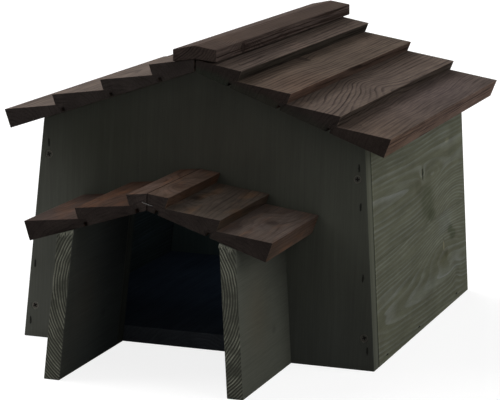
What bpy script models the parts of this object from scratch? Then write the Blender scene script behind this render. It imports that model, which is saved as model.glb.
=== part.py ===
"""Wooden hedgehog house with a roofed porch.

A gabled box stands on the ground, its side walls leaning inwards. The gable roof is laid in
courses of rebated wedge siding. Its left half and the ridge cap lift off together as a lid, and
its right half is fixed. Two leaning walls under a small roof of the same siding make the porch,
which leads to the doorway in the front panel.

Metres, +Z up, +X to the right as seen from the front, and the front towards -Y. The origin lies
on the ground, at the middle of the whole footprint.
"""

import math

import bmesh
import bpy
from mathutils import Matrix, Vector

# Fits and edges
FIT_GAP = 0.0003
EASED_EDGE = 0.0008
SIDING_EASED_EDGE = 0.0003
EASED_STEPS = 2
CUT_OVERRUN = 0.004
MERGE_DISTANCE = 0.000001

# Body: outer half width on the ground, height of the roof's underside at the ridge, front to back
BODY_HALF_WIDTH = 0.1845
APEX_HEIGHT = 0.286
BODY_DEPTH = 0.410
WALL_LEAN = math.radians(4.6)
BOARD = 0.018
FLOOR_THICKNESS = 0.017

# Main roof. Its eaves and its top boards are shares of a course's exposure. The lid, its left
# half, sits a little higher than the fixed right half.
ROOF_PITCH = math.radians(20.0)
ROOF_FRONT_OVERHANG = 0.025
ROOF_REAR_OVERHANG = 0.038
ROOF_COURSES = 4
ROOF_EAVE_SHARE = 0.506
ROOF_RIDGE_SHARE = 0.81
RIDGE_THICKNESS = 0.0117
RIDGE_JOINT = 0.002
LID_RISE = 0.0006

# Rebated wedge siding: thickness at the butt and where the next butt covers it
BUTT_THICKNESS = 0.0195
FEATHER_THICKNESS = 0.0087
REBATE_DEPTH = 0.008
NOTCH_WIDTH = 0.003
NOTCH_HEIGHT = 0.004

# Ridge cap
CAP_HALF_WIDTH = 0.0223
CAP_EDGE_THICKNESS = 0.0119
CAP_TOP_SLOPE = math.radians(10.4)
CAP_UNDER_SLOPE = math.radians(7.2)
CAP_TILT = math.radians(2.3)
CAP_FRONT_OVERHANG = 0.0265
CAP_REAR_OVERHANG = 0.0465

# Porch: inner half width on the ground, height of its roof's underside at the ridge
PORCH_HALF_WIDTH = 0.0838
PORCH_APEX = 0.171
PORCH_PITCH = math.radians(18.3)
PORCH_DEPTH = 0.156
PORCH_BOARD = 0.016
PORCH_COURSES = 3
PORCH_EAVE_SHARE = 0.556
PORCH_RIDGE_SHARE = 0.293
PORCH_RIDGE_THICKNESS = 0.0163
PORCH_ROOF_SETBACK = 0.002
DOORWAY_HEAD_DROP = 0.008

# Battens that hold the lid's boards together
BATTEN_DEPTH = 0.018
BATTEN_WIDTH = 0.028
BATTEN_RIDGE_SPACE = 0.006
LID_CLEARANCE = 0.002

# Countersunk screws
SCREW_SIDES = 12
SCREW_HEAD_RADIUS = 0.004
SCREW_HEAD_DEPTH = 0.0024
SCREW_RIM = 0.0004
SCREW_SHANK_RADIUS = 0.0017
SCREW_TIP = 0.004
SCREW_SINK = 0.0003
WALL_SCREW_LENGTH = 0.040
LID_SCREW_BITE = 0.006
TOP_SCREW_RUN_SHARE = 0.65
PANEL_SCREW_SHARES = (0.145, 0.84)
PORCH_SCREW_SHARES = (0.22, 0.72)

# Square wire nails with a T-shaped head. The roof nails' shares are of a course's exposure.
NAIL_HALF_HEAD = 0.0010
NAIL_HEAD_DEPTH = 0.0010
NAIL_HALF_WIRE = 0.0006
NAIL_TIP = 0.002
NAIL_LENGTH = 0.040
CAP_NAIL_LENGTH = 0.020
ROOF_NAIL_SHARE = 0.73
TOP_NAIL_SHARE = 0.25
CAP_NAIL_SHARES = (0.15, 0.5, 0.85)

# Wire staple across the porch's ridge joint
STAPLE_CROWN = 0.0106
STAPLE_WIRE = 0.0011
STAPLE_WIDTH = 0.0014
STAPLE_LENGTH = 0.012
STAPLE_PROUD = 0.0005
STAPLE_RISE = 0.0062
STAPLE_TILT = math.radians(14.0)

# Colours
GREEN_STAIN = (0.045, 0.050, 0.038)
BROWN_STAIN = (0.048, 0.032, 0.026)
RED_BROWN_STAIN = (0.062, 0.035, 0.027)
PALE_PINE = (0.42, 0.29, 0.16)
ZINC = (0.42, 0.41, 0.38)
WOOD_ROUGHNESS = 0.75
STEEL_ROUGHNESS = 0.4
CREASE = math.radians(40.0)

# Places from front to back
FRONT_FACE = (PORCH_DEPTH - (BODY_DEPTH + CAP_REAR_OVERHANG)) / 2
FRONT_PANEL_BACK = FRONT_FACE + BOARD
BODY_BACK = FRONT_FACE + BODY_DEPTH
BACK_PANEL_FRONT = BODY_BACK - BOARD
PORCH_FRONT = FRONT_FACE - PORCH_DEPTH
PORCH_ROOF_FRONT = PORCH_FRONT + PORCH_ROOF_SETBACK
ROOF_FRONT = FRONT_FACE - ROOF_FRONT_OVERHANG
ROOF_BACK = BODY_BACK + ROOF_REAR_OVERHANG
CAP_FRONT = FRONT_FACE - CAP_FRONT_OVERHANG
CAP_BACK = BODY_BACK + CAP_REAR_OVERHANG
FRONT_BATTEN_FRONT = FRONT_PANEL_BACK + LID_CLEARANCE
REAR_BATTEN_FRONT = BACK_PANEL_FRONT - LID_CLEARANCE - BATTEN_WIDTH

INNER_HALF_WIDTH = BODY_HALF_WIDTH - BOARD / math.cos(WALL_LEAN)
PORCH_OUTER_HALF_WIDTH = PORCH_HALF_WIDTH + PORCH_BOARD / math.cos(WALL_LEAN)
BATTEN_DROP = FIT_GAP + BATTEN_DEPTH
LEFT = -1
RIGHT = 1
SIDES = {LEFT: "left", RIGHT: "right"}


def clear_scene():
    for item in list(bpy.data.objects):
        bpy.data.objects.remove(item, do_unlink=True)


def make_material(name, colour, roughness, metallic=0.0):
    made = bpy.data.materials.new(name)
    made.use_nodes = True
    shader = made.node_tree.nodes["Principled BSDF"]
    shader.inputs["Base Color"].default_value = (*colour, 1.0)
    shader.inputs["Roughness"].default_value = roughness
    shader.inputs["Metallic"].default_value = metallic
    return made


def mesh_from(name, shape):
    mesh = bpy.data.meshes.new(name)
    shape.to_mesh(mesh)
    shape.free()
    return mesh


def add_object(name, mesh, place):
    item = bpy.data.objects.new(name, mesh)
    item.matrix_world = place
    bpy.context.scene.collection.objects.link(item)
    return item


def prism_mesh(name, outline, length, start=0.0):
    """The (x, z) outline extruded along Y from y = start, closed at both ends."""
    shape = bmesh.new()
    corners = [shape.verts.new((x, start, z)) for x, z in outline]
    face = shape.faces.new(corners)
    grown = bmesh.ops.extrude_face_region(shape, geom=[face])
    far = [item for item in grown["geom"] if isinstance(item, bmesh.types.BMVert)]
    bmesh.ops.translate(shape, verts=far, vec=(0, length, 0))
    bmesh.ops.recalc_face_normals(shape, faces=shape.faces[:])
    return mesh_from(name, shape)


def sawn_board(name, outline, front, back, finish, eased=EASED_EDGE):
    """A board or panel of one section from front to back, with its sharp arrises eased."""
    mesh = prism_mesh(name, outline, back - front)
    mesh.materials.append(finish)
    item = add_object(name, mesh, Matrix.Translation((0, front, 0)))
    ease = item.modifiers.new("eased_edges", "BEVEL")
    ease.width = eased
    ease.segments = EASED_STEPS
    ease.limit_method = "ANGLE"
    return item


def mirrored(side, outline):
    return [(side * x, z) for x, z in outline]


# Roof geometry. A run is measured down the slope from the ridge, a height square to the underside.


class Roof:
    """A gable roof of wedge siding over leaning walls. Course 1 is the lowest on its slope."""

    def __init__(self, apex, pitch, half_width, courses, eave_share, ridge_share, ridge_thickness, joint):
        self.apex = apex
        self.pitch = pitch
        self.courses = courses
        self.joint = joint
        wall_run = self.shoulder(half_width)[0] / math.cos(pitch)
        self.exposure = wall_run / (courses - 1 - eave_share + ridge_share)
        self.ridge_run = self.exposure * ridge_share
        self.taper = (BUTT_THICKNESS - FEATHER_THICKNESS) / self.exposure
        self.ridge_taper = (BUTT_THICKNESS - ridge_thickness) / self.ridge_run

    def point(self, run, height):
        """The (x, z) point of the right-hand slope at a run and a height."""
        x = run * math.cos(self.pitch) + height * math.sin(self.pitch)
        z = self.apex - run * math.sin(self.pitch) + height * math.cos(self.pitch)
        return x, z

    def under(self, x, drop=FIT_GAP):
        """Height of a plane that lies a drop below the roof's underside."""
        return self.apex - x * math.tan(self.pitch) - drop / math.cos(self.pitch)

    def shoulder(self, half_width, drop=FIT_GAP):
        """Where a face leaning in from a half width on the ground meets the plane below the roof."""
        lean = math.tan(WALL_LEAN)
        rise = self.under(half_width, drop) / (1 - lean * math.tan(self.pitch))
        return half_width - rise * lean, rise

    def butt_run(self, course):
        return self.ridge_run + (self.courses - course) * self.exposure

    def thickness(self, course, run):
        """Thickness of a course's board at a run."""
        taper = self.ridge_taper if course == self.courses else self.taper
        return BUTT_THICKNESS - taper * (self.butt_run(course) - run)

    def butt_points(self, course):
        """The lower end of a board: square, or rebated over the feather edge below it."""
        butt = self.butt_run(course)
        if course == 1:
            return [(butt, 0), (butt, BUTT_THICKNESS)]
        rebate_height = FEATHER_THICKNESS + FIT_GAP
        step = butt - REBATE_DEPTH
        return [(step, 0), (step, rebate_height), (butt, rebate_height), (butt, BUTT_THICKNESS)]

    def feather_points(self, course):
        """The thin upper end, its lower corner rebated so that a small square notch shows."""
        edge = self.butt_run(course + 1) - REBATE_DEPTH + FIT_GAP
        shoulder = edge + NOTCH_WIDTH
        tip = self.thickness(course, edge)
        return [(edge, tip), (edge, NOTCH_HEIGHT), (shoulder, NOTCH_HEIGHT), (shoulder, 0)]

    def ridge_points(self):
        """The upper end of the top board, cut plumb beside the ridge joint."""
        foot = self.joint / 2 / math.cos(self.pitch)
        height = self.thickness(self.courses, foot) / (1 + self.ridge_taper * math.tan(self.pitch))
        return [(foot - height * math.tan(self.pitch), height), (foot, 0)]

    def siding_outline(self, course):
        upper_end = self.ridge_points() if course == self.courses else self.feather_points(course)
        return [self.point(run, height) for run, height in self.butt_points(course) + upper_end]

    def top_face(self, x):
        """Height of the top board's upper face at a distance from the middle plane."""
        peak_x, peak_z = self.point(*self.ridge_points()[0])
        return peak_z - (x - peak_x) * math.tan(self.pitch - math.atan(self.ridge_taper))


def siding_boards(name, roof, side, front, back, finish):
    boards = []
    for course in range(1, roof.courses + 1):
        outline = mirrored(side, roof.siding_outline(course))
        board = sawn_board(f"{name}_{course}", outline, front, back, finish, SIDING_EASED_EDGE)
        boards.append(board)
    return boards


def main_roof(rise=0.0):
    return Roof(
        APEX_HEIGHT + rise,
        ROOF_PITCH,
        BODY_HALF_WIDTH,
        ROOF_COURSES,
        ROOF_EAVE_SHARE,
        ROOF_RIDGE_SHARE,
        RIDGE_THICKNESS,
        RIDGE_JOINT,
    )


def porch_roof():
    return Roof(
        PORCH_APEX,
        PORCH_PITCH,
        PORCH_OUTER_HALF_WIDTH,
        PORCH_COURSES,
        PORCH_EAVE_SHARE,
        PORCH_RIDGE_SHARE,
        PORCH_RIDGE_THICKNESS,
        FIT_GAP,
    )


FIXED_ROOF = main_roof()
LID_ROOF = main_roof(LID_RISE)
PORCH_ROOF = porch_roof()


# Panels and walls


def doorway_outline():
    """Left foot, head and right foot of the doorway, in line with the porch's inner faces."""
    x, z = PORCH_ROOF.shoulder(PORCH_HALF_WIDTH, DOORWAY_HEAD_DROP)
    head = PORCH_ROOF.under(0, DOORWAY_HEAD_DROP)
    return [(-PORCH_HALF_WIDTH, 0), (-x, z), (0, head), (x, z), (PORCH_HALF_WIDTH, 0)]


def gable_outline(half_width):
    """Right foot, right shoulder, apex, left shoulder and left foot of a gabled panel."""
    x, z = FIXED_ROOF.shoulder(half_width)
    return [(half_width, 0), (x, z), (0, FIXED_ROOF.under(0)), (-x, z), (-half_width, 0)]


def leaning_wall_outline(roof, outer, inner):
    """Section of a leaning wall whose top is bevelled to the roof's underside."""
    return [(outer, 0), roof.shoulder(outer), roof.shoulder(inner), (inner, 0)]


def make_front_panel(finish):
    outline = gable_outline(BODY_HALF_WIDTH) + doorway_outline()
    return sawn_board("front_panel", outline, FRONT_FACE, FRONT_PANEL_BACK, finish)


def make_back_panel(finish):
    outline = gable_outline(INNER_HALF_WIDTH - FIT_GAP)
    return sawn_board("back_panel", outline, BACK_PANEL_FRONT, BODY_BACK, finish)


def make_side_wall(side, finish):
    outline = leaning_wall_outline(FIXED_ROOF, BODY_HALF_WIDTH, INNER_HALF_WIDTH)
    front = FRONT_PANEL_BACK + FIT_GAP
    return sawn_board(f"{SIDES[side]}_wall", mirrored(side, outline), front, BODY_BACK, finish)


def make_floor(finish):
    bottom = INNER_HALF_WIDTH - FIT_GAP
    top = bottom - FLOOR_THICKNESS * math.tan(WALL_LEAN)
    outline = [(bottom, 0), (top, FLOOR_THICKNESS), (-top, FLOOR_THICKNESS), (-bottom, 0)]
    front = FRONT_PANEL_BACK + FIT_GAP
    back = BACK_PANEL_FRONT - FIT_GAP
    return sawn_board("floor_panel", outline, front, back, finish)


def make_porch_wall(side, finish):
    outline = leaning_wall_outline(PORCH_ROOF, PORCH_OUTER_HALF_WIDTH, PORCH_HALF_WIDTH)
    back = FRONT_FACE - FIT_GAP
    return sawn_board(f"porch_{SIDES[side]}_wall", mirrored(side, outline), PORCH_FRONT, back, finish)


# Battens and ridge cap


def batten_outer_end():
    """Distance of the battens' outer ends from the middle, clear of the wall's inner top edge."""
    return LID_ROOF.shoulder(INNER_HALF_WIDTH)[0] - LID_CLEARANCE


def make_batten(name, front, finish):
    """A batten down the left slope, cut plumb at both ends so that it lifts straight out."""
    inner = BATTEN_RIDGE_SPACE
    outer = batten_outer_end()
    outline = [
        (inner, LID_ROOF.under(inner)),
        (outer, LID_ROOF.under(outer)),
        (outer, LID_ROOF.under(outer, BATTEN_DROP)),
        (inner, LID_ROOF.under(inner, BATTEN_DROP)),
    ]
    return sawn_board(name, mirrored(LEFT, outline), front, front + BATTEN_WIDTH, finish)


def cap_outline():
    """A shallow chevron, tilted so that it bears on the lid's top board and clears the fixed one."""
    under_rise = CAP_HALF_WIDTH * math.tan(CAP_UNDER_SLOPE)
    top_rise = CAP_HALF_WIDTH * math.tan(CAP_TOP_SLOPE)
    edge_top = CAP_EDGE_THICKNESS - under_rise
    level = [
        (-CAP_HALF_WIDTH, -under_rise),
        (0, 0),
        (CAP_HALF_WIDTH, -under_rise),
        (CAP_HALF_WIDTH, edge_top),
        (0, edge_top + top_rise),
        (-CAP_HALF_WIDTH, edge_top),
    ]
    cosine = math.cos(CAP_TILT)
    sine = math.sin(CAP_TILT)
    seat = LID_ROOF.joint / 2
    lift = LID_ROOF.top_face(seat) + FIT_GAP + seat * math.tan(CAP_UNDER_SLOPE + CAP_TILT)
    return [(x * cosine - z * sine, x * sine + z * cosine + lift) for x, z in level]


# Fasteners. Each is modelled with its head at z = 0 and its point along +Z.


def turned_mesh(name, profile):
    """A mesh turned about Z from a profile of (radius, depth) points that starts and ends on Z."""
    shape = bmesh.new()
    points = [shape.verts.new((radius, 0, depth)) for radius, depth in profile]
    edges = [shape.edges.new(pair) for pair in zip(points, points[1:])]
    bmesh.ops.spin(
        shape,
        geom=points + edges,
        cent=(0, 0, 0),
        axis=(0, 0, 1),
        angle=2 * math.pi,
        steps=SCREW_SIDES,
        use_merge=True,
    )
    bmesh.ops.remove_doubles(shape, verts=shape.verts[:], dist=MERGE_DISTANCE)
    bmesh.ops.recalc_face_normals(shape, faces=shape.faces[:])
    mesh = mesh_from(name, shape)
    mesh.shade_smooth()
    mesh.set_sharp_from_angle(angle=CREASE)
    return mesh


def screw_mesh(length):
    profile = [
        (0, SCREW_SINK),
        (SCREW_HEAD_RADIUS, SCREW_SINK),
        (SCREW_HEAD_RADIUS, SCREW_SINK + SCREW_RIM),
        (SCREW_SHANK_RADIUS, SCREW_SINK + SCREW_HEAD_DEPTH),
        (SCREW_SHANK_RADIUS, length - SCREW_TIP),
        (0, length),
    ]
    return turned_mesh("screw", profile)


def screw_hole_mesh(length):
    head = SCREW_HEAD_RADIUS + FIT_GAP
    shank = SCREW_SHANK_RADIUS + FIT_GAP
    profile = [
        (0, -CUT_OVERRUN),
        (head, -CUT_OVERRUN),
        (head, SCREW_SINK + SCREW_RIM + FIT_GAP),
        (shank, SCREW_SINK + SCREW_HEAD_DEPTH + FIT_GAP),
        (shank, length - SCREW_TIP),
        (0, length + FIT_GAP),
    ]
    return turned_mesh("screw_hole", profile)


def nail_mesh(length, top=0.0, grown=0.0):
    """A T-headed nail of square wire, or its hole when grown on every side."""
    head = NAIL_HALF_HEAD + grown
    wire = NAIL_HALF_WIRE + grown
    neck = NAIL_HEAD_DEPTH + grown
    outline = [
        (-head, top),
        (head, top),
        (head, neck),
        (wire, neck),
        (wire, length - NAIL_TIP),
        (0, length + grown),
        (-wire, length - NAIL_TIP),
        (-wire, neck),
        (-head, neck),
    ]
    return prism_mesh("nail", outline, 2 * wire, -wire)


def staple_mesh(top=-STAPLE_PROUD, grown=0.0):
    """A U-shaped staple of flat wire, or its hole when grown on every side."""
    outer = STAPLE_CROWN / 2 + grown
    inner = STAPLE_CROWN / 2 - STAPLE_WIRE - grown
    arch = STAPLE_WIRE - STAPLE_PROUD + grown
    tip = STAPLE_LENGTH + grown
    width = STAPLE_WIDTH + 2 * grown
    outline = [
        (-outer, top),
        (outer, top),
        (outer, tip),
        (inner, tip),
        (inner, arch),
        (-inner, arch),
        (-inner, tip),
        (-outer, tip),
    ]
    return prism_mesh("staple", outline, width, -width / 2)


def aim(point, into, across):
    """A frame at a point, with Z running into the wood and X along the given direction."""
    z_axis = Vector(into).normalized()
    x_axis = Vector(across)
    x_axis = (x_axis - z_axis * x_axis.dot(z_axis)).normalized()
    frame = Matrix((x_axis, z_axis.cross(x_axis), z_axis)).transposed().to_4x4()
    frame.translation = point
    return frame


class Fastener:
    """One kind of fastener: its mesh, and the mesh of the hole that it sits in."""

    def __init__(self, mesh, hole, finish):
        mesh.materials.append(finish)
        self.mesh = mesh
        self.hole = hole

    def drive(self, name, place, carriers):
        """Sets one fastener in its place and cuts its hole in the pieces that carry it."""
        cutter = add_object(name + "_hole", self.hole, place)
        cutter.hide_render = True
        cutter.display_type = "WIRE"
        for carrier in carriers:
            bore = carrier.modifiers.new(cutter.name, "BOOLEAN")
            bore.operation = "DIFFERENCE"
            bore.solver = "EXACT"
            bore.object = cutter
        return add_object(name, self.mesh, place)


def screw_kind(length, finish):
    return Fastener(screw_mesh(length), screw_hole_mesh(length), finish)


def nail_kind(length, finish):
    return Fastener(nail_mesh(length), nail_mesh(length, -CUT_OVERRUN, FIT_GAP), finish)


def staple_kind(finish):
    return Fastener(staple_mesh(), staple_mesh(-CUT_OVERRUN, FIT_GAP), finish)


def wall_centre(half_width, thickness, z):
    """Distance from the middle plane to the centre of a leaning wall's thickness at a height."""
    return half_width - thickness / (2 * math.cos(WALL_LEAN)) - z * math.tan(WALL_LEAN)


def drive_panel_screws(screw, panel, walls):
    """Screws through the front panel into the front ends of the side walls."""
    wall_height = FIXED_ROOF.shoulder(BODY_HALF_WIDTH)[1]
    for side, wall in walls.items():
        for level, share in zip(("lower", "upper"), PANEL_SCREW_SHARES):
            z = wall_height * share
            x = side * wall_centre(BODY_HALF_WIDTH, BOARD, z)
            place = aim((x, FRONT_FACE, z), (0, 1, 0), (1, 0, 0))
            screw.drive(f"front_screw_{SIDES[side]}_{level}", place, [panel, wall])


def drive_porch_screws(screw, panel, walls):
    """Screws from inside the box through the front panel into the porch walls."""
    wall_height = PORCH_ROOF.shoulder(PORCH_OUTER_HALF_WIDTH)[1]
    for side, wall in walls.items():
        for level, share in zip(("lower", "upper"), PORCH_SCREW_SHARES):
            z = wall_height * share
            x = side * wall_centre(PORCH_OUTER_HALF_WIDTH, PORCH_BOARD, z)
            place = aim((x, FRONT_PANEL_BACK, z), (0, -1, 0), (1, 0, 0))
            screw.drive(f"porch_screw_{SIDES[side]}_{level}", place, [panel, wall])


def drive_porch_nails(nail, panel, boards, side):
    """Nails from inside the box through the front panel into the ends of the porch roof boards."""
    for course, board in enumerate(boards, start=1):
        upper = PORCH_ROOF.butt_run(course + 1) if course < PORCH_COURSES else 0
        run = (upper + PORCH_ROOF.butt_run(course) - REBATE_DEPTH) / 2
        x, z = PORCH_ROOF.point(run, PORCH_ROOF.thickness(course, run) / 2)
        place = aim((side * x, FRONT_PANEL_BACK, z), (0, -1, 0), (1, 0, 0))
        nail.drive(f"{board.name}_nail", place, [panel, board])


def drive_roof_nails(nail, boards, ends):
    """Nails down through the right-hand boards into the body's front and rear edges."""
    into = (-math.sin(ROOF_PITCH), 0, -math.cos(ROOF_PITCH))
    for course, board in enumerate(boards, start=1):
        share = TOP_NAIL_SHARE if course == ROOF_COURSES else ROOF_NAIL_SHARE
        run = FIXED_ROOF.butt_run(course) - FIXED_ROOF.exposure * share
        x, z = FIXED_ROOF.point(run, FIXED_ROOF.thickness(course, run))
        for end, (y, bearers) in ends.items():
            place = aim((x, y, z), into, (0, 1, 0))
            nail.drive(f"{board.name}_{end}_nail", place, [board, *bearers])


def lid_screw_run(course):
    """Run at which a board is screwed to the battens."""
    if course == ROOF_COURSES:
        return LID_ROOF.ridge_run * TOP_SCREW_RUN_SHARE
    if course > 1:
        return LID_ROOF.butt_run(course) - LID_ROOF.exposure / 2
    feather_edge = LID_ROOF.feather_points(course)[0][0]
    return (feather_edge + batten_outer_end() / math.cos(ROOF_PITCH)) / 2


def drive_lid_screws(screw, boards, battens):
    """Screws up through the battens into each of the lid's boards."""
    into = (-math.sin(ROOF_PITCH), 0, math.cos(ROOF_PITCH))
    screws = []
    for course, board in enumerate(boards, start=1):
        x, z = LID_ROOF.point(lid_screw_run(course), -BATTEN_DROP)
        for end, (front, batten) in battens.items():
            place = aim((-x, front + BATTEN_WIDTH / 2, z), into, (0, 1, 0))
            screws.append(screw.drive(f"lid_screw_{course}_{end}", place, [batten, board]))
    return screws


def drive_cap_nails(nail, cap, board):
    """Nails down through the cap's left wing into the lid's top board."""
    slope = CAP_TOP_SLOPE + CAP_TILT
    x = CAP_HALF_WIDTH / 2
    edge_x, edge_z = cap_outline()[-1]
    z = edge_z + (-edge_x - x) * math.tan(slope)
    into = (math.sin(slope), 0, -math.cos(slope))
    nails = []
    for end, share in zip(("front", "middle", "rear"), CAP_NAIL_SHARES):
        y = CAP_FRONT + (CAP_BACK - CAP_FRONT) * share
        place = aim((-x, y, z), into, (0, 1, 0))
        nails.append(nail.drive(f"cap_nail_{end}", place, [cap, board]))
    return nails


def hang_on_lift(items):
    """Parents the lid's pieces to an empty on the vertical line along which the lid lifts."""
    lift = bpy.data.objects.new("lid_lift", None)
    lift.location = (0, (FRONT_FACE + BODY_BACK) / 2, APEX_HEIGHT)
    bpy.context.scene.collection.objects.link(lift)
    for item in items:
        item.parent = lift
        item.matrix_parent_inverse = Matrix.Translation(-lift.location)


def make_lid(finish, pine, steel):
    """The left half of the roof: four boards, two battens, the ridge cap and their fasteners."""
    boards = siding_boards("left_board", LID_ROOF, LEFT, ROOF_FRONT, ROOF_BACK, finish)
    battens = {
        "front": (FRONT_BATTEN_FRONT, make_batten("lid_batten_front", FRONT_BATTEN_FRONT, pine)),
        "rear": (REAR_BATTEN_FRONT, make_batten("lid_batten_rear", REAR_BATTEN_FRONT, pine)),
    }
    cap = sawn_board("ridge_cap", cap_outline(), CAP_FRONT, CAP_BACK, finish)
    screws = drive_lid_screws(screw_kind(BATTEN_DROP + LID_SCREW_BITE, steel), boards, battens)
    nails = drive_cap_nails(nail_kind(CAP_NAIL_LENGTH, steel), cap, boards[-1])
    wood = [*boards, *[batten for front, batten in battens.values()], cap]
    hang_on_lift([*wood, *screws, *nails])


def make_porch(front_panel, green, finish, steel):
    """Two leaning walls and three boards on each slope, with the fasteners that hold them."""
    walls = {side: make_porch_wall(side, green) for side in SIDES}
    drive_porch_screws(screw_kind(WALL_SCREW_LENGTH, steel), front_panel, walls)
    nail = nail_kind(NAIL_LENGTH, steel)
    back = FRONT_FACE - FIT_GAP
    top_boards = []
    for side, word in SIDES.items():
        boards = siding_boards(f"porch_{word}_board", PORCH_ROOF, side, PORCH_ROOF_FRONT, back, finish)
        drive_porch_nails(nail, front_panel, boards, side)
        top_boards.append(boards[-1])
    across = (math.cos(STAPLE_TILT), 0, -math.sin(STAPLE_TILT))
    place = aim((0, PORCH_ROOF_FRONT, PORCH_APEX + STAPLE_RISE), (0, 1, 0), across)
    staple_kind(steel).drive("porch_ridge_staple", place, top_boards)


def make_house():
    green = make_material("green_stained_pine", GREEN_STAIN, WOOD_ROUGHNESS)
    brown = make_material("brown_stained_siding", BROWN_STAIN, WOOD_ROUGHNESS)
    red_brown = make_material("red_brown_stained_siding", RED_BROWN_STAIN, WOOD_ROUGHNESS)
    pine = make_material("planed_pine", PALE_PINE, WOOD_ROUGHNESS)
    steel = make_material("zinc_plated_steel", ZINC, STEEL_ROUGHNESS, metallic=1.0)

    front_panel = make_front_panel(green)
    back_panel = make_back_panel(green)
    walls = {side: make_side_wall(side, green) for side in SIDES}
    make_floor(green)
    drive_panel_screws(screw_kind(WALL_SCREW_LENGTH, steel), front_panel, walls)

    boards = siding_boards("right_board", FIXED_ROOF, RIGHT, ROOF_FRONT, ROOF_BACK, brown)
    ends = {
        "front": (FRONT_FACE + BOARD / 2, [front_panel]),
        "rear": (BODY_BACK - BOARD / 2, [back_panel, walls[RIGHT]]),
    }
    drive_roof_nails(nail_kind(NAIL_LENGTH, steel), boards, ends)

    make_porch(front_panel, green, red_brown, steel)
    make_lid(brown, pine, steel)


clear_scene()
make_house()
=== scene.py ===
"""Looks of the wooden hedgehog house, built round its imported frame.

Every wooden piece is a board sawn from a log: its material works out the growth rings from the
distance to that log's pith, so that the long grain, the figure round knots and the end grain all
belong together. Metres, +Z up, +X to the right as seen from the front, and the front towards -Y.
"""

import math
import random
from functools import cached_property

import bmesh
import bpy
from mathutils import Euler, Matrix, Vector


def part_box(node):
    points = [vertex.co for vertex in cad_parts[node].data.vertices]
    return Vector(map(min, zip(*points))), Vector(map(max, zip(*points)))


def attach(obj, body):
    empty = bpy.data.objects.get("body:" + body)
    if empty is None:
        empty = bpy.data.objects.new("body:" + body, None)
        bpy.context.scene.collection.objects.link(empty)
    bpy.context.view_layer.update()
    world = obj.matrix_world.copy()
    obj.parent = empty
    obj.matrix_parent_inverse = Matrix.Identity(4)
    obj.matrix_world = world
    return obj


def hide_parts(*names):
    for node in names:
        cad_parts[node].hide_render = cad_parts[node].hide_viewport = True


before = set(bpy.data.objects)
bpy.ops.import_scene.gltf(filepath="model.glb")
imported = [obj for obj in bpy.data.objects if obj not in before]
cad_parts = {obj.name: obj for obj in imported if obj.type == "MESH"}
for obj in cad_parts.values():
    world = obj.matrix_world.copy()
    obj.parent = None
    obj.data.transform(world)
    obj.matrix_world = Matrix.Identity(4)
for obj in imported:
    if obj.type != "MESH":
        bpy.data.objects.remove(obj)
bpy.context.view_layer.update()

MM = 0.001
ACROSS = Vector((1.0, 0.0, 0.0))
ALONG = Vector((0.0, 1.0, 0.0))
UPRIGHT = Vector((0.0, 0.0, 1.0))

# Camera: the photograph's own, worked out from its corners. The focal length is in pixels.
PHOTO_WIDTH = 500
FOCAL_PIXELS = 2572.3
SENSOR = 36.0
CAMERA_AZIMUTH = math.radians(17.324)
CAMERA_ELEVATION = math.radians(10.397)
CAMERA_ROLL = math.radians(1.679)
CAMERA_DISTANCE = 2.62892
CAMERA_TARGET = Vector((0.02096, -0.05025, 0.14064))

# Stage and light. The floor's colours are in thousandths.
FLOOR_HALF_SIZE = 12.0
FLOOR_SEEN = (260, 260, 260)
FLOOR_GLOW = 0.84
FLOOR_BOUNCE = (550, 550, 550)
WHITE = (1000, 1000, 1000)
WORLD_STRENGTH = 0.06
SOFT_ANGLE = math.radians(63.0)
SUNS = {
    "left_high_light": ((-1.0, 0.0, 0.8), 2.95),
    "left_back_light": ((-0.8, 0.6, 0.4), 3.45),
    "right_high_light": ((1.0, 0.0, 0.8), 1.10),
    "right_low_light": ((1.0, -0.05, 0.2), 0.45),
    "front_high_light": ((0.0, -1.0, 0.8), 0.35),
}
# A weak lamp inside the house, which lifts the dark of its doorway as in the photograph
DOORWAY_LAMP = Vector((0.02, 0.14, 0.19))
DOORWAY_LAMP_RADIUS = 0.03
DOORWAY_POWER = 0.135
DOORWAY_COLOUR = (0.56, 0.74, 1.0)

# Grain: waves per metre, across it twice and along it once
FIBRE_WAVES = (1 / 0.0009, 1 / 0.0009, 1 / 0.045)
STREAK_WAVES = (1 / 0.011, 1 / 0.011, 1 / 0.22)
BLOTCH_WAVES = (20.0, 20.0, 12.0)
SEAM_BLUR = 0.1 * MM
WOOD_SPECULAR = 0.01
WOOD_ROUGHNESS = 0.84

# Growth rings: the waves of the noises that bend them, per metre, across the pith twice and along
# it once, with their detail and their share of the log's swell. The late wood is full, and then
# over, at these shares of its ring.
BENDS = (((18.0, 18.0, 4.0), 1.0, 4.0), ((90.0, 90.0, 14.0), 2.0, 0.45))
PACE_WAVES = (55.0, 55.0, 1.0)
FAINT_WAVES = (60.0, 60.0, 11.0)
LATE_FULL = 0.84
LATE_OVER = 0.90

# A radius without an end, and one that reaches through a leaning side wall, in millimetres
ENDLESS = 50000.0
REACH = 100.0

SIDES = (("left", -1), ("right", 1))

# The frame's own measures, where marks on the wood need them
WALL_LEAN = math.radians(4.6)
ROOF_PITCH = math.radians(20.0)
APEX_HEIGHT = 0.286
EXPOSURE = 0.053591
RIDGE_RUN = 0.043409
BUTT_THICKNESS = 0.0195
FEATHER_THICKNESS = 0.0087
LID_RISE = 0.0006
FIT_GAP = 0.0003
LAP = 0.008
NOTCH_HEIGHT = 0.004
NOTCH_WIDTH = 0.003
MAIN_COURSES = 4
PORCH_COURSES = 3
PORCH_PITCH = math.radians(18.3)
HALF_PORCH = 0.0838

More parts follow.
